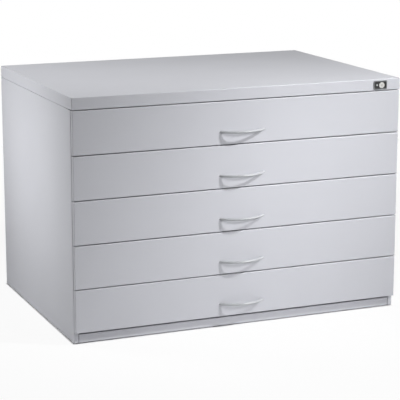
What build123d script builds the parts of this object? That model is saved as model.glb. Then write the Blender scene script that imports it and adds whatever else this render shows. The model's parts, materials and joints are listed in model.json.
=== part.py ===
from build123d import *
import math
import os

# A plan chest of folded sheet steel: five wide, shallow drawers on full-extension telescopic
# slides, under a lid whose front skirt carries the lock. Millimetres; X to the right, Y to the
# back, Z up. The origin is on the floor, in the middle of the whole object, handles included.

# Carcass, with the drawers shut
cabinet_width = 1100.0
cabinet_depth = 765.0
cabinet_height = 760.0
drawer_count = 5
panel_sheet = 1.0
bend_radius = 1.5
edge_radius = 2.0
joint_chamfer = 0.8
flange_width = 14.5
flange_lip = 12.0
rear_flange = 15.0
panel_top_flange = 20.0
panel_bottom_flange = 30.0
seam_height = 2.0
seam_depth = 2.5
floor_rise = 40.0
floor_flange = 22.0

# Lid
lid_height = 36.5
lid_return = 14.0
lid_front_return = 26.0

# Base, plinth and floor glides
glide_height = 3.0
glide_radius = 15.0
glide_from_side = 20.0
glide_from_end = 60.0
plinth_top = 30.0
plinth_end_gap = 2.0
floor_front_fold = 18.0

# Rails and uprights inside the carcass
top_rail_height = 14.0
top_rail_depth = 24.0
back_fold = 15.0
upright_sheet = 1.2
upright_width = 64.0
upright_foot = 12.0
upright_setback = 34.0
rear_upright_setback = 580.0

# Drawer fronts: folded pans that cover the carcass edges
front_depth = 14.0
front_gap = 3.0
front_bottom = 38.0
front_inset = 1.5
front_lip = 30.0
buffer_depth = 2.0
buffer_size = 9.0

# Drawer trays
tray_sheet = 0.8
tray_height = 104.0
tray_rise = 15.0
tray_depth = 700.0
tray_lip = 9.0
hood_depth = 150.0
hood_drop = 10.0
hood_clearance = 1.0

# Hinged paper flap across the front of each tray
flap_length = 80.0
flap_lip = 10.0
flap_sheet = 0.8
flap_end_gap = 2.0
flap_pivot_inset = 8.0
flap_pivot_rise = 7.0
flap_rod_radius = 1.8

# Telescopic slides
slide_length = 650.0
slide_height = 45.0
slide_thickness = 12.7
slide_sheet = 1.2
slide_rise = 45.0
slide_setback = 3.5
drawer_travel = 640.0
race_gap = 4.2
race_hook = 3.7
outer_reach = 9.5
middle_inset = 2.0
middle_reach = 8.2
inner_reach = 8.3
cage_width = 4.8
cage_margin = 30.0

# Handles: bowed bars, thicker at the feet than in the middle
handle_span = 155.0
handle_reach = 32.0
handle_height = 8.0
handle_rise = 36.0
handle_mid_thickness = 6.0
handle_end_thickness = 10.0
handle_chamfer = 3.0

# Lock in the lid's front skirt
lock_from_side = 66.0
lock_from_top = 20.0
bezel_width = 48.0
bezel_height = 28.0
bezel_from_side = 71.0
bezel_from_top = 19.4
bezel_depth = 2.2
bezel_rim = 2.6
bezel_corner = 4.0
rosette_corner = 5.0
bezel_chamfer = 0.9
rosette_depth = 1.4
nose_radius = 9.6
nose_chamfer = 0.5
plug_radius = 7.4
keyway_width = 1.8
keyway_height = 8.0
keyway_depth = 12.0
lock_case_width = 26.0
lock_case_height = 25.0
lock_case_depth = 22.0
plug_overhang = 2.0
cam_thickness = 2.6
cam_hub_radius = 5.5
cam_radius = 9.0
cam_pin_radius = 1.5
cam_pin_length = 3.5

# Locking bar, its hooks and its guides
bar_thickness = 2.0
bar_width = 12.0
bar_from_lip = 2.0
bar_behind_lip = 2.1
bar_foot = 44.0
arm_height = 14.0
arm_overhang = 5.0
hook_height = 10.0
hook_above_slide = 7.5
hook_end_gap = 2.7
catch_sheet = 1.5
catch_height = 12.0
catch_foot = 20.0
catch_end_gap = 2.0
guide_height = 20.0
guide_wall = 1.5
guide_every = 2

# Clearances
running_clearance = 0.3
pin_clearance = 0.2
lock_clearance = 0.7
catch_clearance = 0.5
lift_clearance = 1.0
cut_margin = 1.0

# Sizes worked out from the above
half_width = cabinet_width / 2
inner_half = half_width - panel_sheet
opening_half = half_width - flange_width
back_y = (cabinet_depth + handle_reach) / 2
face_y = back_y - cabinet_depth
pan_back_y = face_y + front_depth
flange_y = pan_back_y + buffer_depth
lip_end_y = flange_y + flange_lip
back_panel_y = back_y - panel_sheet
lid_bottom = cabinet_height - lid_height
front_space = lid_bottom - front_bottom - drawer_count * front_gap
front_height = front_space / drawer_count
front_pitch = front_height + front_gap
front_half = half_width - front_inset
plinth_half = opening_half - plinth_end_gap
panel_top = lid_bottom - seam_height
floor_y = lip_end_y + running_clearance
tray_half = opening_half - slide_thickness
tray_front_y = pan_back_y
tray_back_y = tray_front_y + tray_depth
slide_y = flange_y + slide_setback
slide_end_y = slide_y + slide_length
upright_y = lip_end_y + upright_setback - flange_lip
bar_x = opening_half + panel_sheet + bar_from_lip
bar_y = lip_end_y + bar_behind_lip
bar_travel = cam_radius * math.sqrt(2)
lock_x = half_width - lock_from_side
lock_z = cabinet_height - lock_from_top
bezel_x = half_width - bezel_from_side
bezel_z = cabinet_height - bezel_from_top
slot_z = lock_z - bar_travel / 2
arm_low = slot_z - arm_height / 2
bezel_y = face_y - bezel_depth
case_back_y = face_y + panel_sheet + lock_case_depth
cam_y = case_back_y + plug_overhang
nook_y = bar_y + bar_width + running_clearance + guide_wall
outer_half = slide_height / 2
middle_half = outer_half - slide_sheet - race_gap
inner_half_height = middle_half - slide_sheet - race_gap
numbers = range(1, drawer_count + 1)


def front_base(number):
    """Height of the lower edge of a drawer front, counted from 1 at the top."""
    return front_bottom + (drawer_count - number) * front_pitch


def block(x0, x1, y0, y1, z0, z1):
    """A plain rectangular piece between two corners."""
    middle = Pos((x0 + x1) / 2, (y0 + y1) / 2, (z0 + z1) / 2)
    return middle * Box(x1 - x0, y1 - y0, z1 - z0)


def folded(points, sheet, side, radius=bend_radius):
    """Section of a sheet folded along a line of its outer or inner face."""
    line = FilletPolyline(*points, radius=radius)
    return make_face(offset(line, sheet, side=side))


def creased(points, sheet, side):
    """Section of a sheet with tight folds, for pieces whose bends are hidden."""
    return make_face(offset(Polyline(*points), sheet, kind=Kind.INTERSECTION, side=side))


def along_x(face, x0, x1):
    """A section drawn in Y and Z, run from x0 to x1."""
    plane = Plane(origin=(x0, 0, 0), x_dir=(0, 1, 0), z_dir=(1, 0, 0))
    return extrude(plane * face, x1 - x0)


def along_y(face, y0, y1):
    """A section drawn in X and Z, run from y0 to y1."""
    plane = Plane(origin=(0, y1, 0), x_dir=(1, 0, 0), z_dir=(0, -1, 0))
    return extrude(plane * face, y1 - y0)


def along_z(face, z0, z1):
    """A section drawn in X and Y, run from z0 to z1."""
    return extrude(Plane.XY.offset(z0) * face, z1 - z0)


def rod_y(radius, x, z, y0, y1):
    """A round rod or bore along Y."""
    return along_y(Pos(x, z) * Circle(radius), y0, y1)


def mirrored(piece):
    """The same piece on the other side of the cabinet."""
    return mirror(piece, about=Plane.YZ)


def save(name, *solids):
    """Write one named piece, or a group of separate solids, to its own file."""
    group = []
    for solid in solids:
        group += solid.solids()
    for number, solid in enumerate(group):
        solid.label = f"{name}_{number + 1}"
    shape = group[0] if len(group) == 1 else Compound(children=group)
    shape.label = name
    export_step(shape, f"parts/{name}.step")


def side_panel():
    """Right side: a sheet with a front flange and lip, a rear flange, a fold along its foot and
    a joggled one along its top, which carries the lid over a narrow dark seam."""
    plan = creased([(opening_half, flange_y), (opening_half, lip_end_y)], panel_sheet, Side.RIGHT)
    plan += folded(
        [
            (half_width - rear_flange, back_y),
            (half_width, back_y),
            (half_width, flange_y),
            (opening_half, flange_y),
        ],
        panel_sheet,
        Side.RIGHT,
    )
    panel = along_z(plan, glide_height, panel_top)
    fold_end_y = back_panel_y - back_fold - running_clearance
    joggle = creased(
        [
            (half_width - panel_top_flange, lid_bottom),
            (half_width - seam_depth, lid_bottom),
            (half_width - seam_depth, panel_top),
            (inner_half, panel_top),
        ],
        panel_sheet,
        Side.RIGHT,
    )
    panel += along_y(joggle, nook_y, fold_end_y)
    panel += block(
        half_width - panel_bottom_flange, inner_half,
        floor_y + running_clearance, fold_end_y,
        glide_height, glide_height + panel_sheet,
    )
    return panel


def back_panel():
    """Back sheet inside the rear flanges, folded inwards along its top and foot."""
    section = creased(
        [
            (back_panel_y - back_fold, lid_bottom),
            (back_panel_y, lid_bottom),
            (back_panel_y, glide_height),
            (back_panel_y - back_fold, glide_height),
        ],
        panel_sheet,
        Side.RIGHT,
    )
    half = inner_half - (bend_radius - panel_sheet)
    return along_x(section, -half, half)


def base_panel():
    """Floor of the carcass, with a flange down each side and one down the front, against which
    the plinth strip stands."""
    section = creased(
        [
            (-inner_half, floor_rise - floor_flange),
            (-inner_half, floor_rise),
            (inner_half, floor_rise),
            (inner_half, floor_rise - floor_flange),
        ],
        panel_sheet,
        Side.RIGHT,
    )
    floor = along_y(section, floor_y, back_panel_y - panel_sheet)
    fold_half = inner_half - panel_sheet
    return floor + block(
        -fold_half, fold_half,
        floor_y, floor_y + panel_sheet,
        floor_rise - floor_front_fold, floor_rise - panel_sheet,
    )


def plinth_strip():
    """Kick strip level with the side flanges, with a return along every edge."""
    section = folded(
        [
            (floor_y, glide_height),
            (flange_y, glide_height),
            (flange_y, plinth_top),
            (floor_y, plinth_top),
        ],
        panel_sheet,
        Side.RIGHT,
    )
    strip = along_x(section, -plinth_half, plinth_half)
    end_return = block(
        plinth_half - panel_sheet, plinth_half,
        flange_y + bend_radius, floor_y,
        glide_height + panel_sheet, plinth_top - panel_sheet,
    )
    return strip + end_return + mirrored(end_return)


def top_panel():
    """Lid: a pressed tray turned upside down, with a deep front skirt that holds the lock."""
    lid = block(-half_width, half_width, face_y, back_y, lid_bottom, cabinet_height)
    rim = lid.faces().sort_by(Axis.Z)[-1].edges()
    lid = fillet(lid.edges().filter_by(Axis.Z) + rim, edge_radius)
    lid = chamfer(lid.faces().sort_by(Axis.Z)[0].edges(), joint_chamfer)
    lid -= block(
        -inner_half, inner_half,
        face_y + panel_sheet, back_y - panel_sheet,
        lid_bottom + panel_sheet, cabinet_height - panel_sheet,
    )
    lid -= block(
        lid_return - half_width, half_width - lid_return,
        face_y + lid_front_return, back_y - lid_return,
        lid_bottom - cut_margin, lid_bottom + panel_sheet + cut_margin,
    )
    notch = block(
        half_width - lid_return - panel_sheet, inner_half,
        face_y + lid_front_return, nook_y,
        lid_bottom - cut_margin, lid_bottom + panel_sheet + cut_margin,
    )
    lid -= notch
    lid -= mirrored(notch)
    return lid - rod_y(
        nose_radius + running_clearance, lock_x, lock_z,
        face_y - cut_margin, face_y + panel_sheet + cut_margin,
    )


def front_cross_rail():
    """Rail under the lid's front edge, between the two side flanges."""
    section = creased(
        [
            (flange_y + top_rail_depth, lid_bottom),
            (flange_y, lid_bottom),
            (flange_y, lid_bottom - top_rail_height),
            (flange_y + top_rail_depth, lid_bottom - top_rail_height),
        ],
        panel_sheet,
        Side.LEFT,
    )
    return along_x(section, -opening_half, opening_half)


def upright(y0):
    """Hat-section post against the side panel, on which the slides are fixed."""
    y1 = y0 + upright_width
    crown_x = opening_half + upright_sheet
    section = creased(
        [
            (inner_half, y0),
            (inner_half, y0 + upright_foot),
            (crown_x, y0 + upright_foot),
            (crown_x, y1 - upright_foot),
            (inner_half, y1 - upright_foot),
            (inner_half, y1),
        ],
        upright_sheet,
        Side.LEFT,
    )
    return along_z(section, floor_rise, panel_top - panel_sheet)


def floor_glide(x, y):
    """Plastic foot disc under the side panel's bottom flange."""
    return Pos(x, y, glide_height / 2) * Cylinder(glide_radius, glide_height)


def front_buffer(number):
    """Rubber pad on the side flange, on which a shut drawer front rests."""
    x = opening_half + flange_width / 2
    z = front_base(number) + front_height / 2
    return block(
        x - buffer_size / 2, x + buffer_size / 2,
        pan_back_y + running_clearance, flange_y,
        z - buffer_size / 2, z + buffer_size / 2,
    )


def channel(mount, reach, half_height, hook, z):
    """Section of one member of the right-hand slide.

    mount is how far its web stands from the cabinet's side of the slide; reach is how far its
    two race walls stand out from the web, towards the drawer, or to the cabinet if negative.
    """
    web_x = opening_half - mount
    tip_x = web_x - reach
    points = [
        (tip_x, z + half_height),
        (web_x, z + half_height),
        (web_x, z - half_height),
        (tip_x, z - half_height),
    ]
    if hook:
        points.insert(0, (tip_x, z + half_height - hook))
        points.append((tip_x, z - half_height + hook))
    side = Side.RIGHT if reach > 0 else Side.LEFT
    return along_y(creased(points, slide_sheet, side), slide_y, slide_end_y)


def cabinet_rail(number):
    """Outer member of the slide, fixed to the uprights."""
    return channel(0.0, outer_reach, outer_half, race_hook, front_base(number) + slide_rise)


def drawer_rail(number):
    """Inner member of the slide, fixed to the side of the tray."""
    return channel(slide_thickness, -inner_reach, inner_half_height, 0.0, front_base(number) + slide_rise)


def ball_cages(number):
    """Ball retainers of one slide: two rear ones to the outer member, two front ones to the inner."""
    z = front_base(number) + slide_rise
    length = slide_length - drawer_travel / 2 - cage_margin
    thickness = race_gap - 2 * running_clearance
    cages = []
    for sign in (-1, 1):
        outer_z = z + sign * (middle_half + race_gap / 2)
        outer_x = opening_half - middle_inset - cage_width / 2 - slide_sheet
        cages.append(block(
            outer_x - cage_width / 2, outer_x + cage_width / 2,
            slide_end_y - length, slide_end_y - slide_sheet,
            outer_z - thickness / 2, outer_z + thickness / 2,
        ))
        inner_z = z + sign * (inner_half_height + race_gap / 2)
        inner_x = opening_half - slide_thickness + inner_reach - cage_width / 2 - slide_sheet / 2
        cages.append(block(
            inner_x - cage_width / 2, inner_x + cage_width / 2,
            slide_y + slide_sheet, slide_y + length,
            inner_z - thickness / 2, inner_z + thickness / 2,
        ))
    return cages


def middle_rail(number):
    """Intermediate member of the slide."""
    return channel(middle_inset, middle_reach, middle_half, 0.0, front_base(number) + slide_rise)


def drawer_front(number):
    """Hollow pan folded from one sheet, open at the back inside a lip."""
    low = front_base(number)
    high = low + front_height
    pan = block(-front_half, front_half, face_y, pan_back_y, low, high)
    pan = fillet(pan.faces().sort_by(Axis.Y)[0].edges(), edge_radius)
    pan -= block(
        panel_sheet - front_half, front_half - panel_sheet,
        face_y + panel_sheet, pan_back_y - panel_sheet,
        low + panel_sheet, high - panel_sheet,
    )
    return pan - block(
        front_lip - front_half, front_half - front_lip,
        pan_back_y - panel_sheet - cut_margin, pan_back_y + cut_margin,
        low + front_lip, high - front_lip,
    )


def drawer_tray(number):
    """Open tray: floor and sides folded from one sheet, with in-turned rims at sides and back."""
    low = front_base(number) + tray_rise
    high = low + tray_height
    section = creased(
        [
            (tray_lip - tray_half, high),
            (-tray_half, high),
            (-tray_half, low),
            (tray_half, low),
            (tray_half, high),
            (tray_half - tray_lip, high),
        ],
        tray_sheet,
        Side.LEFT,
    )
    tray = along_y(section, tray_front_y, tray_back_y)
    wall_half = tray_half - tray_sheet
    tray += block(
        -wall_half, wall_half,
        tray_front_y, tray_front_y + tray_sheet,
        low + tray_sheet, high - tray_sheet,
    )
    rear_wall = creased(
        [(tray_back_y - tray_lip, high), (tray_back_y, high), (tray_back_y, low + tray_sheet)],
        tray_sheet,
        Side.RIGHT,
    )
    tray += along_x(rear_wall, -wall_half, wall_half)
    return tray - hinge_rod(number, flap_rod_radius + pin_clearance, tray_half + cut_margin)


def lock_catch(number):
    """Angle on the tray's right side, with a tongue that the raised hook holds from the front."""
    low = hook_low(number) + hook_height + lift_clearance
    front = bar_y + bar_thickness + catch_clearance
    angle = creased(
        [(opening_half - catch_end_gap, front), (tray_half, front), (tray_half, front + catch_foot)],
        catch_sheet,
        Side.RIGHT,
    )
    return along_z(angle, low, low + catch_height)


def rear_hood(number):
    """Cover over the rear of the tray, which keeps the sheets' back edges down."""
    high = front_base(number) + tray_rise + tray_height
    front = tray_back_y - hood_depth
    top = high + tray_sheet
    back = tray_back_y + tray_sheet
    cover = creased([(front, top), (back, top), (back, high - hood_drop)], tray_sheet, Side.RIGHT)
    drop_half = tray_half - tray_lip - hood_clearance
    drop = block(-drop_half, drop_half, front, front + tray_sheet, high - hood_drop, high)
    return along_x(cover, -tray_half, tray_half) + drop


def flap_pivot(number):
    """Place of the paper flap's hinge line, behind the tray's front wall."""
    return tray_front_y + flap_pivot_inset, front_base(number) + tray_rise + flap_pivot_rise


def hinge_rod(number, radius, half_length):
    """A rod on the flap's hinge line."""
    circle = Pos(*flap_pivot(number)) * Circle(radius)
    return along_x(circle, -half_length, half_length)


def paper_flap(number):
    """Flap that holds the sheets' front edges down: a hinge rod, a web and a finger lip."""
    pivot_y, pivot_z = flap_pivot(number)
    low = pivot_z - flap_sheet / 2
    end = pivot_y + flap_length
    half = tray_half - tray_sheet - flap_end_gap
    section = creased([(pivot_y, low), (end, low), (end, low + flap_lip)], flap_sheet, Side.LEFT)
    return along_x(section, -half, half) + hinge_rod(number, flap_rod_radius, tray_half)


def handle(number):
    """Bowed bar: a crescent between two arcs, with broad chamfers along its outer face."""
    low = front_base(number) + handle_rise
    outer_foot = handle_span / 2
    inner_foot = outer_foot - handle_end_thickness
    outer_tip = face_y - handle_reach
    inner_tip = outer_tip + handle_mid_thickness
    outline = Curve() + [
        ThreePointArc((-outer_foot, face_y), (0, outer_tip), (outer_foot, face_y)),
        Line((outer_foot, face_y), (inner_foot, face_y)),
        ThreePointArc((inner_foot, face_y), (0, inner_tip), (-inner_foot, face_y)),
        Line((-inner_foot, face_y), (-outer_foot, face_y)),
    ]
    bar = along_z(make_face(outline), low, low + handle_height)
    front_edges = bar.edges().filter_by(GeomType.CIRCLE).sort_by(lambda edge: (edge @ 0.5).Y)[:2]
    return chamfer(front_edges, handle_chamfer)


def lock_bezel():
    """Pale frame round the lock's rosette, on the face of the lid's skirt."""
    outer = RectangleRounded(bezel_width, bezel_height, bezel_corner)
    frame = along_y(Pos(bezel_x, bezel_z) * (outer - rosette_outline()), bezel_y, face_y)
    return chamfer(frame.faces().sort_by(Axis.Y)[0].outer_wire().edges(), bezel_chamfer)


def rosette_outline():
    """Rounded oblong inside the bezel."""
    width = bezel_width - 2 * bezel_rim
    height = bezel_height - 2 * bezel_rim
    return RectangleRounded(width, height, rosette_corner)


def lock_rosette():
    """Dark plastic plate inside the bezel, with a hole for the cylinder's nose."""
    plate = along_y(Pos(bezel_x, bezel_z) * rosette_outline(), face_y - rosette_depth, face_y)
    return plate - rod_y(
        nose_radius + running_clearance, lock_x, lock_z,
        face_y - rosette_depth - cut_margin, face_y + cut_margin,
    )


def lock_housing():
    """Lock case behind the skirt, with a round nose out through skirt and rosette."""
    start = face_y + panel_sheet
    case = block(
        lock_x - lock_case_width / 2, lock_x + lock_case_width / 2,
        start, case_back_y,
        lock_z - lock_case_height / 2, lock_z + lock_case_height / 2,
    )
    case += chamfer(
        rod_y(nose_radius, lock_x, lock_z, bezel_y, start).edges().sort_by(Axis.Y)[0], nose_chamfer
    )
    return case - rod_y(
        plug_radius + running_clearance, lock_x, lock_z,
        bezel_y - cut_margin, case_back_y + cut_margin,
    )


def lock_plug():
    """Key plug that turns in the case, with a keyway in its face."""
    plug = rod_y(plug_radius, lock_x, lock_z, bezel_y, cam_y)
    keyway = block(
        lock_x - keyway_width / 2, lock_x + keyway_width / 2,
        bezel_y - cut_margin, bezel_y + keyway_depth,
        lock_z - keyway_height / 2, lock_z + keyway_height / 2,
    )
    return plug - keyway


def pin_place():
    """The cam pin at rest, below and to the right of the plug's axis."""
    step = cam_radius * math.sqrt(0.5)
    return lock_x + step, lock_z - step


def lock_cam():
    """Lever on the plug's rear end, with the pin that drives the locking bar."""
    pin_x, pin_z = pin_place()
    tip_radius = cam_pin_radius + slide_sheet
    lever = make_hull(
        (Pos(lock_x, lock_z) * Circle(cam_hub_radius)).edges()
        + (Pos(pin_x, pin_z) * Circle(tip_radius)).edges()
    )
    cam = along_y(lever, cam_y, cam_y + cam_thickness)
    return cam + rod_y(cam_pin_radius, pin_x, pin_z, cam_y, cam_y + cam_thickness + cam_pin_length)


def hook_low(number):
    """Lower edge of the locking bar's hook beside one drawer, above its slide."""
    return front_base(number) + slide_rise + outer_half + hook_above_slide


def locking_bar():
    """Bar with a hook for each drawer and, at its top, a slotted arm that the cam pin lifts."""
    bar_end = bar_x + bar_thickness
    arm_top = arm_low + arm_height
    bar = block(bar_x, bar_end, bar_y, bar_y + bar_width, bar_foot, arm_top)
    pin_x, _ = pin_place()
    slot_low = pin_x - cam_pin_radius - lock_clearance
    slot_high = lock_x + cam_radius + cam_pin_radius + lock_clearance
    bar += block(slot_low - arm_overhang, bar_end, bar_y, bar_y + bar_thickness, arm_low, arm_top)
    for number in numbers:
        low = hook_low(number)
        bar += block(
            tray_half + hook_end_gap, bar_end, bar_y, bar_y + bar_thickness, low, low + hook_height
        )
    slot = SlotOverall(slot_high - slot_low, 2 * (cam_pin_radius + lock_clearance))
    slot = Pos((slot_low + slot_high) / 2, slot_z) * slot
    return bar - along_y(slot, bar_y - cut_margin, bar_y + bar_thickness + cut_margin)


def bar_guide(number):
    """Moulded guide for the locking bar, fixed to the side panel in the hollow behind the lip."""
    low = front_base(number) + hook_height
    gap = running_clearance
    guide = block(
        bar_x - gap - guide_wall, inner_half,
        bar_y - gap - guide_wall, nook_y,
        low, low + guide_height,
    )
    return guide - block(
        bar_x - gap, bar_x + bar_thickness + gap,
        bar_y - gap, bar_y + bar_width + gap,
        low - cut_margin, low + guide_height + cut_margin,
    )


os.makedirs("parts", exist_ok=True)

glide_x = half_width - glide_from_side
glide_rows = (flange_y + glide_from_end, back_y - glide_from_end)
post_rows = (upright_y, flange_y + rear_upright_setback)

right_side = side_panel()
save("side_panel_right", right_side)
save("side_panel_left", mirrored(right_side))
save("back_panel", back_panel())
save("base_panel", base_panel())
save("plinth_strip", plinth_strip())
save("top_panel", top_panel())
save("front_cross_rail", front_cross_rail())
posts = [upright(y) for y in post_rows]
save("uprights_right", *posts)
save("uprights_left", *[mirrored(post) for post in posts])
rails = [cabinet_rail(number) for number in numbers]
save("cabinet_rails_right", *rails)
save("cabinet_rails_left", *[mirrored(rail) for rail in rails])
save("floor_glides", *[floor_glide(side * glide_x, y) for side in (-1, 1) for y in glide_rows])
buffers = [front_buffer(number) for number in numbers]
save("front_buffers", *buffers, *[mirrored(pad) for pad in buffers])

save("lock_bezel", lock_bezel())
save("lock_rosette", lock_rosette())
save("lock_housing", lock_housing())
save("lock_plug", lock_plug())
save("lock_cam", lock_cam())
save("locking_bar", locking_bar())
save("lock_bar_guides", *[bar_guide(number) for number in numbers[::guide_every]])

for number in numbers:
    save(f"drawer_front_{number}", drawer_front(number))
    save(f"drawer_tray_{number}", drawer_tray(number))
    save(f"lock_catch_{number}", lock_catch(number))
    save(f"rear_hood_{number}", rear_hood(number))
    save(f"drawer_handle_{number}", handle(number))
    save(f"paper_flap_{number}", paper_flap(number))
    inner = drawer_rail(number)
    save(f"drawer_rails_{number}", inner, mirrored(inner))
    moving = [middle_rail(number), *ball_cages(number)]
    save(f"middle_rails_{number}", *moving, *[mirrored(piece) for piece in moving])
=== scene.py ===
import json
import math
import bmesh
import bpy
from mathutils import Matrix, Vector

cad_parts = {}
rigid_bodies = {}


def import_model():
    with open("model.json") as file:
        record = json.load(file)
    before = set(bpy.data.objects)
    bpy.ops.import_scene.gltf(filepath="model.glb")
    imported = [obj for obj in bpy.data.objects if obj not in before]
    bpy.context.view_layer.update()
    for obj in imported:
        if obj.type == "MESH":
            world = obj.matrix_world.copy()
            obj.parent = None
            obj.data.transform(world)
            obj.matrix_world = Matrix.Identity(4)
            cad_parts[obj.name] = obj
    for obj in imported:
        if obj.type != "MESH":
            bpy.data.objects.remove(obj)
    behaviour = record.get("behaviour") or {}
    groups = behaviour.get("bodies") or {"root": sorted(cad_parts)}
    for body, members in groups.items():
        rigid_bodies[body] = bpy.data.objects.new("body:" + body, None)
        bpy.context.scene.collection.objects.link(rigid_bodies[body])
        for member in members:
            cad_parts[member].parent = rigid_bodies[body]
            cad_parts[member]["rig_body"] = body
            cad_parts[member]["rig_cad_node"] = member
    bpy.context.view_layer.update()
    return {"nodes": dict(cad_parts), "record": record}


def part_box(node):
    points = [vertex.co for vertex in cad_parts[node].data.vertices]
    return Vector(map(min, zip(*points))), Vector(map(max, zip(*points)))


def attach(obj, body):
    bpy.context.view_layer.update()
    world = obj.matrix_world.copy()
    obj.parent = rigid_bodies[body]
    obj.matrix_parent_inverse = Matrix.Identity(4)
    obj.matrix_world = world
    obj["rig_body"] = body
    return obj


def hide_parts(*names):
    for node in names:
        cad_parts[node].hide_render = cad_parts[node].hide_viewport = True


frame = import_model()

# The plan chest as it stands in the picture: silver-grey powder coat on folded sheet steel, five
# fronts with bowed bar handles, and a lock in the lid's skirt. Metres, in the frame of the solids.

# Where the picture is taken from: place in metres, turn and tilt in degrees, lens in millimetres
camera_place = (-1.960, -4.735, 1.477)
camera_turn = 22.6
camera_tilt = 12.6
camera_lens = 141.9
camera_sensor = 36.0

# Key light: small, so that the handles throw a clear shadow on the fronts. A grid is in degrees
key_place = (1.95, -1.84, 2.67)
key_aim = (-0.02, -0.38, 0.48)
key_size = (0.07, 0.07)
key_watts = 18.2
key_grid = 80.0

# Front light: soft, from the right, on the middle of the fronts
front_place = (1.3, -2.7, 1.7)
front_aim = (0.15, -0.37, 0.4)
front_size = (0.5, 0.5)
front_watts = 1.52
front_grid = 30.0

# Left light: above and behind the left side
left_place = (-1.7, 0.9, 1.9)
left_aim = (-0.55, 0.0, 0.6)
left_size = (0.7, 0.7)
left_watts = 2.9
left_grid = 60.0

# Side light: level with the left side, from further away
side_place = (-2.9, 0.9, 0.7)
side_aim = (-0.55, 0.1, 0.5)
side_size = (0.6, 0.6)
side_watts = 1.05
side_grid = 26.0

# Rear light: low and without a grid, on the back, which the picture doesn't show
rear_place = (1.5, 2.6, 0.42)
rear_aim = (0.3, 0.4, 0.42)
rear_size = (1.6, 0.6)
rear_watts = 24.0
rear_grid = 180.0

# Surround and floor: how much fill and glow they give, and how far the shadows reach
surround_fill = 0.06
floor_size = 60.0
floor_glow = 0.92
contact_reach = 0.006
shadow_reach = 0.5
shadow_end = 2.5

# Surfaces: sizes and depths of their patterns in millimetres, and how far their gloss varies
cloud_size = 260
fleck_size = 3
fleck_share = 0.4
peel_depth = 0.04
line_depth = 0.008
grain_depth = 0.02
coat_gloss = 0.05
line_gloss = 0.06
grain_gloss = 0.07
plain_detail = 1.0
soft_detail = 2.0
fine_detail = 3.0
resin_ior = 1.5
coat_specular = 0.3

# Slides: the balls that the retainers hold, and the sheet that the members are rolled from
ball_radius = 0.00205
ball_cuts = 2
balls_per_retainer = 9
retainer_length = 0.2988
retainer_half = 0.0018
outer_row_inset = 0.0036
inner_row_inset = 0.0054
race_gap = 0.0042
slide_sheet = 0.0012

# Screws: pan heads with a cross recess, as on the handles, the slides and the lock's plate
head_radius = 0.0037
head_height = 0.0013
head_sides = 24
head_round = 0.0006
head_round_steps = 3
recess_share = 0.62
recess_margin = 0.05
recess_floor_share = 0.55
recess_valley = 0.4
recess_depth = 0.0008
valley_start = 22.0
valley_end = 68.0
rim_height_share = 0.99
rim_radius_share = 0.9
shank_radius = 0.0019
shank_length = 0.0009
sheet_thickness = 0.001
slide_screw_shares = (0.07, 0.36, 0.64, 0.93)
plate_stud_size = 0.72
plate_stud_inset = 0.0092

# Handles: radius that the casting's long edges are rounded to, and how far out the screws sit
handle_round = 0.0009
handle_round_steps = 4
handle_foot_share = 0.47

# Working limits: lengths that count as nothing, angles in degrees that count as flat or sharp, and
# the share of a normal along Z past which a face counts as level
hair = 0.0001
merge_distance = 0.00001
flat_angle = 0.5
sharp_angle = 30.0
smooth_angle = 35.0
level = 0.9

# Shape of a bevel: a half is round
round_profile = 0.5

drawer_numbers = range(1, 6)


def srgb(code):
    """A colour written as sRGB hex, turned to linear for the shader."""
    channels = [int(code[place:place + 2], 16) / 255 for place in (1, 3, 5)]
    return [c / 12.92 if c <= 0.04045 else ((c + 0.055) / 1.055) ** 2.4 for c in channels] + [1.0]


def per_metre(millimetres):
    """Texture scale for features of that size, on Object coordinates in metres."""
    return 1000.0 / millimetres


def add_node(tree, kind, sockets=None, **settings):
    """Adds a node, sets its own values, and sets or links its sockets."""
    node = tree.nodes.new(kind)
    for name, value in settings.items():
        setattr(node, name, value)
    for name, value in (sockets or {}).items():
        if isinstance(value, bpy.types.NodeSocket):
            tree.links.new(value, node.inputs[name])
        else:
            node.inputs[name].default_value = value
    return node


def new_material(name, **constants):
    """A material with one shader, whose even values are set on its own sockets."""
    material = bpy.data.materials.new(name)
    material.use_nodes = True
    tree = material.node_tree
    tree.nodes.clear()
    shader = add_node(tree, "ShaderNodeBsdfPrincipled", {
        title.replace("_", " "): value for title, value in constants.items()
    })
    output = add_node(tree, "ShaderNodeOutputMaterial", {"Surface": shader.outputs["BSDF"]})
    output.is_active_output = True
    place = add_node(tree, "ShaderNodeTexCoord").outputs["Object"]
    return material, tree, shader, place


def tone(tree, factor, dark, light):
    """Blends between two written colours, on the colour sockets of a mix: 6 and 7 in, 2 out."""
    sockets = {0: factor, 6: srgb(dark), 7: srgb(light)}
    return add_node(tree, "ShaderNodeMix", sockets, data_type="RGBA").outputs[2]


def spread(tree, value, low, high):
    """Maps a 0 to 1 pattern onto a range."""
    sockets = {"Value": value, "To Min": low, "To Max": high}
    return add_node(tree, "ShaderNodeMapRange", sockets).outputs["Result"]


def raised(tree, pattern, depth_millimetres):
    """A normal that stands a pattern proud by a real depth."""
    sockets = {"Height": pattern, "Distance": depth_millimetres / 1000.0, "Strength": 1.0}
    return add_node(tree, "ShaderNodeBump", sockets).outputs["Normal"]


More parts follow.
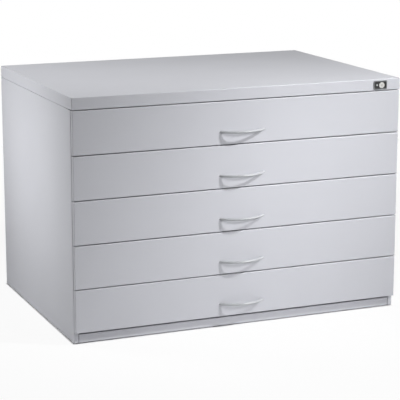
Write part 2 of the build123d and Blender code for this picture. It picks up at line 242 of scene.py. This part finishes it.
def silver_coat(name, dark, light, peel, roughness, metallic):
    """Silver powder or lacquer, sprayed on metal and baked: an even satin skin with fine orange
    peel, and slightly cloudy over a hand's width. The real waves of about 2 mm and the metal
    flecks, which are far finer, are drawn coarser so that they show."""
    material, tree, shader, place = new_material(
        name, Metallic=metallic, IOR=resin_ior, Specular_IOR_Level=coat_specular
    )
    sockets = {"Vector": place, "Scale": per_metre(cloud_size), "Detail": soft_detail}
    cloud = add_node(tree, "ShaderNodeTexNoise", sockets).outputs["Fac"]
    sockets = {"Vector": place, "Scale": per_metre(fleck_size), "Detail": fine_detail}
    fleck = add_node(tree, "ShaderNodeTexNoise", sockets).outputs["Fac"]
    sockets = {"Vector": place, "Scale": per_metre(peel), "Detail": plain_detail}
    waves = add_node(tree, "ShaderNodeTexNoise", sockets).outputs["Fac"]
    shade = add_node(tree, "ShaderNodeMix", {0: fleck_share, 2: cloud, 3: fleck}).outputs[0]
    tree.links.new(tone(tree, shade, dark, light), shader.inputs["Base Color"])
    gloss = spread(tree, fleck, roughness - coat_gloss, roughness + coat_gloss)
    tree.links.new(gloss, shader.inputs["Roughness"])
    tree.links.new(raised(tree, waves, peel_depth), shader.inputs["Normal"])
    return material


def drawn_metal(name, dark, light, roughness, grain, stretch):
    """Metal with fine lines along one direction, as rolling or brushing leaves them. The real
    lines lie closer than the picture can show, so they are drawn wider."""
    material, tree, shader, place = new_material(name, Metallic=1.0)
    lines = add_node(tree, "ShaderNodeMapping", {"Vector": place, "Scale": stretch})
    sockets = {"Vector": lines.outputs["Vector"], "Scale": per_metre(grain), "Detail": fine_detail}
    pattern = add_node(tree, "ShaderNodeTexNoise", sockets).outputs["Fac"]
    tree.links.new(tone(tree, pattern, dark, light), shader.inputs["Base Color"])
    gloss = spread(tree, pattern, roughness - line_gloss, roughness + line_gloss)
    tree.links.new(gloss, shader.inputs["Roughness"])
    tree.links.new(raised(tree, pattern, line_depth), shader.inputs["Normal"])
    return material


def moulded_plastic(name, dark, light, roughness, grain):
    """Plastic or rubber from an eroded mould, which leaves a fine even grain. The real grain is
    finer than the picture can show, so it is drawn wider."""
    material, tree, shader, place = new_material(name, IOR=resin_ior)
    sockets = {"Vector": place, "Scale": per_metre(grain), "Detail": soft_detail}
    pattern = add_node(tree, "ShaderNodeTexNoise", sockets).outputs["Fac"]
    tree.links.new(tone(tree, pattern, dark, light), shader.inputs["Base Color"])
    gloss = spread(tree, pattern, roughness - grain_gloss, roughness + grain_gloss)
    tree.links.new(gloss, shader.inputs["Roughness"])
    tree.links.new(raised(tree, pattern, grain_depth), shader.inputs["Normal"])
    return material


# Powder coat, sprayed dry on folded steel and baked: an even satin silver with wide soft waves
silver_carcass = silver_coat(
    "silver_powder_coat_carcass", "#BEBFC5", "#C7C8CE", peel=9, roughness=0.52, metallic=0.12
)

# The same powder coat on the fronts: a little more even in tone
silver_front = silver_coat(
    "silver_powder_coat_fronts", "#BFC0C6", "#C6C7CD", peel=9, roughness=0.52, metallic=0.12
)

# The same powder coat on the trays: a shade darker, with closer waves
silver_tray = silver_coat(
    "silver_powder_coat_trays", "#BABBC1", "#C2C3C9", peel=7, roughness=0.52, metallic=0.12
)

# Lacquer on cast zinc, sprayed wet: smoother and glossier than the powder, so the bow catches light
handle_silver = silver_coat(
    "silver_lacquer_cast_handle", "#ACAEB1", "#B4B6B9", peel=5, roughness=0.3, metallic=0.05
)

# Zinc-plated strip, rolled to the slides' profiles: a bluish shine with lines along the slide
zinc_steel = drawn_metal(
    "zinc_plated_rolled_steel", "#A9ACAE", "#C6C9CB", roughness=0.32, grain=2.5, stretch=(1.0, 0.04, 1.0)
)

# Zinc-plated sheet, pressed to the cam, bar and catches: a duller shine with lines up and down
cam_steel = drawn_metal(
    "zinc_plated_pressed_steel", "#A2A5A7", "#BFC1C2", roughness=0.36, grain=2.0, stretch=(1.0, 1.0, 0.2)
)

# Hardened steel, ground and tumbled: bright balls whose polish is the same all round
ball_steel = drawn_metal(
    "polished_ball_steel", "#C2C4C6", "#D6D8D9", roughness=0.14, grain=1.5, stretch=(1.0, 1.0, 1.0)
)

# Nickel plate on turned brass, polished: the brightest and slightly warm metal, in the lock
lock_nickel = drawn_metal(
    "polished_nickel_cylinder", "#D4D3D0", "#E8E7E4", roughness=0.16, grain=0.8, stretch=(1.0, 1.0, 1.0)
)

# Grey plastic, moulded with a fine grain: a flat grey frame round the lock
bezel_grey = moulded_plastic("grey_moulded_bezel", "#6E7173", "#787B7D", roughness=0.42, grain=1.2)

# Black plastic from a smoother mould: a nearly even black with a soft gloss
rosette_black = moulded_plastic("black_moulded_rosette", "#0E0E0F", "#1A1A1B", roughness=0.34, grain=1.2)

# Black nylon, moulded to the floor glides: a dull black with the coarsest grain
nylon_black = moulded_plastic("black_nylon", "#171718", "#222223", roughness=0.5, grain=1.6)

# Black rubber, moulded to the buffers: the dullest of the blacks
buffer_rubber = moulded_plastic("black_buffer_rubber", "#1C1C1C", "#272726", roughness=0.75, grain=1.0)

finish_of_slot = {
    "carcass_paint": silver_carcass,
    "front_paint": silver_front,
    "tray_paint": silver_tray,
    "slide_steel": zinc_steel,
    "handle_metal": handle_silver,
    "lock_chrome": lock_nickel,
    "bezel_metal": bezel_grey,
    "rosette_plastic": rosette_black,
    "glide_plastic": nylon_black,
    "buffer_rubber": buffer_rubber,
}


def finish(piece, material):
    """Gives the whole piece one material."""
    piece.data.materials.clear()
    piece.data.materials.append(material)


for part in frame["record"]["subparts"]:
    finish(frame["nodes"][part["node"]], finish_of_slot[part["material_slot"]])
# The lock's inner pieces share a slot with the slides, but are pressed from sheet
for name in ("lock_cam", "locking_bar", *[f"lock_catch_{number}" for number in drawer_numbers]):
    finish(frame["nodes"][name], cam_steel)


def start_clean():
    """Nothing is left selected from before."""
    if bpy.context.object and bpy.context.object.mode != "OBJECT":
        bpy.ops.object.mode_set(mode="OBJECT")
    bpy.ops.object.select_all(action="DESELECT")


def pick(kind, test):
    """In edit mode, selects the vertices, edges or faces that pass a test."""
    bpy.ops.mesh.select_mode(type=kind)
    bpy.ops.mesh.select_all(action="DESELECT")
    mesh = bmesh.from_edit_mesh(bpy.context.object.data)
    for item in {"VERT": mesh.verts, "EDGE": mesh.edges, "FACE": mesh.faces}[kind]:
        item.select_set(test(item))
    mesh.select_flush_mode()
    bmesh.update_edit_mesh(bpy.context.object.data)


def middle(item):
    """The middle of an edge or a face."""
    points = [vertex.co for vertex in item.verts]
    return sum(points, Vector()) / len(points)


def keep_still(piece):
    """Writes a piece's place into its mesh, leaves the object at the origin and smooths its shading."""
    start_clean()
    piece.select_set(True)
    bpy.context.view_layer.objects.active = piece
    bpy.ops.object.transform_apply(location=True, rotation=True, scale=True)
    bpy.ops.object.shade_smooth_by_angle(angle=math.radians(smooth_angle))


def is_head_top(face):
    """The face on top of the head."""
    return face.normal.z > level


def is_valley(vertex):
    """A corner of the recess between two arms of the cross, at the top or at the bottom."""
    point = vertex.co
    inside = point.xy.length < head_radius * (recess_share + recess_margin)
    from_arm = math.degrees(math.atan2(abs(point.y), abs(point.x)))
    return inside and point.z > hair and valley_start < from_arm < valley_end


def is_rim(edge):
    """An edge of the circle round the top of the head."""
    return all(
        vertex.co.z > head_height * rim_height_share
        and vertex.co.xy.length > head_radius * rim_radius_share
        for vertex in edge.verts
    )


def is_head_underside(face):
    """The face that the head rests on."""
    return face.normal.z < -level and middle(face).z < hair


def pan_screw():
    """A screw seen from its head, whose underside lies on the plane Z = 0: a domed head with a
    cross recess, and a stub of its shank."""
    start_clean()
    bpy.ops.mesh.primitive_cylinder_add(
        vertices=head_sides, radius=head_radius, depth=head_height, location=(0, 0, head_height / 2)
    )
    pan = bpy.context.object
    bpy.ops.object.transform_apply(location=True, rotation=False, scale=False)
    bpy.ops.object.mode_set(mode="EDIT")
    pick("FACE", is_head_top)
    bpy.ops.mesh.inset(thickness=head_radius * (1 - recess_share), depth=0.0)
    bpy.ops.mesh.extrude_region_move(TRANSFORM_OT_translate={"value": (0, 0, -recess_depth)})
    bpy.ops.transform.resize(value=(recess_floor_share, recess_floor_share, 1.0))
    pick("VERT", is_valley)
    bpy.ops.transform.resize(
        value=(recess_valley, recess_valley, 1.0), center_override=(0, 0, 0)
    )
    pick("EDGE", is_rim)
    bpy.ops.mesh.bevel(offset=head_round, segments=head_round_steps, profile=round_profile)
    pick("FACE", is_head_underside)
    bpy.ops.mesh.inset(thickness=head_radius - shank_radius, depth=0.0)
    bpy.ops.mesh.extrude_region_move(TRANSFORM_OT_translate={"value": (0, 0, -shank_length)})
    bpy.ops.mesh.select_all(action="SELECT")
    bpy.ops.mesh.normals_make_consistent(inside=False)
    bpy.ops.object.mode_set(mode="OBJECT")
    return pan


def race_ball():
    """A slide ball, rounded out of a block so that it has no poles."""
    start_clean()
    bpy.ops.mesh.primitive_cube_add(size=2 * ball_radius)
    block = bpy.context.object
    bpy.ops.object.mode_set(mode="EDIT")
    bpy.ops.mesh.select_all(action="SELECT")
    bpy.ops.mesh.subdivide(number_cuts=ball_cuts)
    bpy.ops.transform.tosphere(value=1.0)
    bpy.ops.object.mode_set(mode="OBJECT")
    reach = max(vertex.co.length for vertex in block.data.vertices)
    block.scale = [ball_radius / reach] * 3
    bpy.ops.object.transform_apply(location=False, rotation=False, scale=True)
    return block


def set_of(pattern, name, places, body, material):
    """One piece made of copies of a modelled one, each turned so that its Z points a given way."""
    copies = []
    for place, way in places:
        copy = pattern.copy()
        copy.data = pattern.data.copy()
        copy.location = place
        copy.rotation_euler = Vector(way).to_track_quat("Z", "Y").to_euler()
        bpy.context.collection.objects.link(copy)
        copies.append(copy)
    start_clean()
    for copy in copies:
        copy.select_set(True)
    bpy.context.view_layer.objects.active = copies[0]
    if len(copies) > 1:
        bpy.ops.object.join()
    piece = bpy.context.object
    piece.name = name
    piece.data.name = name
    keep_still(piece)
    finish(piece, material)
    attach(piece, body)


def round_handle(number):
    """The bowed handle with its long edges rounded over, as a casting has them. The copy of the
    solid's mesh drops the marks of the node that it stands for."""
    node = f"drawer_handle_{number}"
    handle = frame["nodes"][node].copy()
    handle.data = handle.data.copy()
    handle.parent = None
    handle.name = f"bow_handle_{number}"
    handle.data.name = handle.name
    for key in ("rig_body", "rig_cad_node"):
        del handle[key]
    bpy.context.collection.objects.link(handle)
    start_clean()
    handle.select_set(True)
    bpy.context.view_layer.objects.active = handle
    bpy.ops.object.mode_set(mode="EDIT")
    bpy.ops.mesh.select_all(action="SELECT")
    bpy.ops.mesh.remove_doubles(threshold=merge_distance)
    bpy.ops.mesh.dissolve_limited(angle_limit=math.radians(flat_angle))
    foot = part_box(node)[1].y - hair
    sharp = math.radians(sharp_angle)
    pick("EDGE", lambda edge: edge.calc_face_angle(0.0) > sharp and middle(edge).y < foot)
    bpy.ops.mesh.bevel(offset=handle_round, segments=handle_round_steps, profile=round_profile)
    bpy.ops.object.mode_set(mode="OBJECT")
    keep_still(handle)
    finish(handle, handle_silver)
    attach(handle, f"drawer_{number}")
    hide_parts(node)


def handle_screws(number):
    """Two screws that hold a handle from behind, inside the hollow front."""
    low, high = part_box(f"drawer_handle_{number}")
    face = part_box(f"drawer_front_{number}")[0].y + sheet_thickness
    across = (high.x - low.x) * handle_foot_share
    places = [((side * across, face, (low.z + high.z) / 2), (0, 1, 0)) for side in (-1, 1)]
    set_of(screw, f"handle_screws_{number}", places, f"drawer_{number}", zinc_steel)


def slide_screws(number):
    """Screws through the inner slide members into the sides of the tray, heads in the channels."""
    low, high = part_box(f"drawer_rails_{number}")
    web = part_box(f"drawer_tray_{number}")[1].x + slide_sheet
    places = [
        ((side * web, low.y + share * (high.y - low.y), (low.z + high.z) / 2), (side, 0, 0))
        for side in (-1, 1) for share in slide_screw_shares
    ]
    set_of(screw, f"slide_screws_{number}", places, f"drawer_{number}", zinc_steel)


def slide_balls(number):
    """The balls of both slides of a drawer, each row along the middle of its retainer."""
    low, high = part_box(f"middle_rails_{number}")
    inner_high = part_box(f"drawer_rails_{number}")[1].z
    centre = (low.z + high.z) / 2
    outer_lift = high.z - retainer_half - centre
    inner_lift = inner_high + race_gap / 2 - centre
    rows = [
        (high.x - outer_row_inset, outer_lift, high.y - slide_sheet - retainer_length),
        (high.x - inner_row_inset, inner_lift, low.y + slide_sheet),
    ]
    places = []
    for across, lift, start in rows:
        for step in range(balls_per_retainer):
            along = start + (step + 0.5) * retainer_length / balls_per_retainer
            places += [
                ((side * across, along, centre + rise), (0, 0, 1))
                for side in (-1, 1) for rise in (-lift, lift)
            ]
    set_of(ball, f"slide_balls_{number}", places, f"slide_stage_{number}", ball_steel)


def plate_stud():
    """The small stud at the left end of the lock's plate, a smaller screw of the same form."""
    low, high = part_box("lock_rosette")
    screw.scale = [plate_stud_size] * 3
    place = (low.x + plate_stud_inset, low.y, (low.z + high.z) / 2)
    set_of(screw, "lock_plate_stud", [(place, (0, -1, 0))], "carcass", cam_steel)


screw = pan_screw()
ball = race_ball()
for number in drawer_numbers:
    round_handle(number)
    handle_screws(number)
    slide_screws(number)
    slide_balls(number)
plate_stud()
for pattern in (screw, ball):
    bpy.data.objects.remove(pattern)


def soft_box(name, place, aim, size, watts, grid):
    """A rectangular soft light that looks at a point, with a grid that keeps it on one face."""
    light = bpy.data.lights.new(name, "AREA")
    light.shape = "RECTANGLE"
    light.size, light.size_y = size
    light.energy = watts
    light.spread = math.radians(grid)
    lamp = bpy.data.objects.new(name, light)
    lamp.visible_camera = False
    lamp.location = place
    lamp.rotation_euler = (Vector(aim) - Vector(place)).to_track_quat("-Z", "Y").to_euler()
    bpy.context.collection.objects.link(lamp)


def backdrop_share(tree):
    """1 for rays from the camera and for those that shiny or clear surfaces send on, else 0."""
    rays = add_node(tree, "ShaderNodeLightPath").outputs
    sockets = {0: rays["Is Camera Ray"], 1: rays["Is Glossy Ray"]}
    seen = add_node(tree, "ShaderNodeMath", sockets, operation="ADD")
    sockets = {0: seen.outputs[0], 1: rays["Is Transmission Ray"]}
    return add_node(tree, "ShaderNodeMath", sockets, operation="ADD", use_clamp=True).outputs[0]


def base_distance(tree):
    """How far a point of the floor lies outside the rectangle that the cabinet covers."""
    left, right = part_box("side_panel_left")[0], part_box("side_panel_right")[1]
    front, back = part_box("plinth_strip")[0].y, right.y
    centre = ((left.x + right.x) / 2, (front + back) / 2, 0.0)
    half = ((right.x - left.x) / 2, (back - front) / 2, 0.0)
    place = add_node(tree, "ShaderNodeTexCoord").outputs["Object"]
    sockets = {0: place, 1: centre}
    offset = add_node(tree, "ShaderNodeVectorMath", sockets, operation="SUBTRACT").outputs[0]
    sockets = {0: offset}
    reach = add_node(tree, "ShaderNodeVectorMath", sockets, operation="ABSOLUTE").outputs[0]
    sockets = {0: reach, 1: half}
    past = add_node(tree, "ShaderNodeVectorMath", sockets, operation="SUBTRACT").outputs[0]
    sockets = {0: past, 1: (0.0, 0.0, 0.0)}
    outside = add_node(tree, "ShaderNodeVectorMath", sockets, operation="MAXIMUM").outputs[0]
    sockets = {0: outside}
    return add_node(tree, "ShaderNodeVectorMath", sockets, operation="LENGTH").outputs["Value"]


def floor_share(tree):
    """How much of the floor's colour is glow: none in the dark line under the cabinet, most of it
    round that, and all of it further away."""
    away = base_distance(tree)
    sockets = {"Value": away, "From Min": 0.0, "From Max": contact_reach}
    line = add_node(tree, "ShaderNodeMapRange", sockets, interpolation_type="SMOOTHSTEP").outputs[0]
    sockets = {"Value": away, "From Min": shadow_reach, "From Max": shadow_end, "To Min": floor_glow}
    wide = add_node(tree, "ShaderNodeMapRange", sockets, interpolation_type="SMOOTHSTEP").outputs[0]
    sockets = {0: backdrop_share(tree), 1: line}
    seen = add_node(tree, "ShaderNodeMath", sockets, operation="MULTIPLY").outputs[0]
    sockets = {0: seen, 1: wide}
    return add_node(tree, "ShaderNodeMath", sockets, operation="MULTIPLY").outputs[0]


def lay_floor():
    """White studio floor, which keeps a soft shadow and a dark line where the cabinet stands."""
    start_clean()
    bpy.ops.mesh.primitive_plane_add(size=floor_size, location=(0, 0, 0))
    floor = bpy.context.object
    floor.name = "studio_floor"
    paper = bpy.data.materials.new("white_studio_paper")
    paper.use_nodes = True
    tree = paper.node_tree
    tree.nodes.clear()
    matt = add_node(tree, "ShaderNodeBsdfDiffuse", {"Color": srgb("#F4F4F4")})
    glow = add_node(tree, "ShaderNodeEmission", {"Color": srgb("#FFFFFF"), "Strength": 1.0})
    sockets = {0: floor_share(tree), 1: matt.outputs[0], 2: glow.outputs[0]}
    mixed = add_node(tree, "ShaderNodeMixShader", sockets)
    add_node(tree, "ShaderNodeOutputMaterial", {"Surface": mixed.outputs[0]})
    finish(floor, paper)


def light_world():
    """Even surround: white where it is seen, and a plain fill for everything else."""
    world = bpy.data.worlds.new("pale_surround")
    bpy.context.scene.world = world
    world.use_nodes = True
    tree = world.node_tree
    tree.nodes.clear()
    strength = spread(tree, backdrop_share(tree), surround_fill, 1.0)
    sky = add_node(tree, "ShaderNodeBackground", {"Color": srgb("#FFFFFF"), "Strength": strength})
    add_node(tree, "ShaderNodeOutputWorld", {"Surface": sky.outputs[0]})


def place_camera():
    """The camera, level from side to side, at the picture's place."""
    data = bpy.data.cameras.new("picture_camera")
    data.lens = camera_lens
    data.sensor_width = camera_sensor
    camera = bpy.data.objects.new("picture_camera", data)
    camera.location = camera_place
    camera.rotation_euler = (math.radians(90 - camera_tilt), 0, -math.radians(camera_turn))
    bpy.context.collection.objects.link(camera)
    bpy.context.scene.camera = camera


lay_floor()
light_world()
place_camera()
soft_box("key_light", key_place, key_aim, key_size, key_watts, key_grid)
soft_box("front_light", front_place, front_aim, front_size, front_watts, front_grid)
soft_box("left_light", left_place, left_aim, left_size, left_watts, left_grid)
soft_box("side_light", side_place, side_aim, side_size, side_watts, side_grid)
soft_box("rear_light", rear_place, rear_aim, rear_size, rear_watts, rear_grid)
bpy.context.scene.view_settings.view_transform = "Standard"
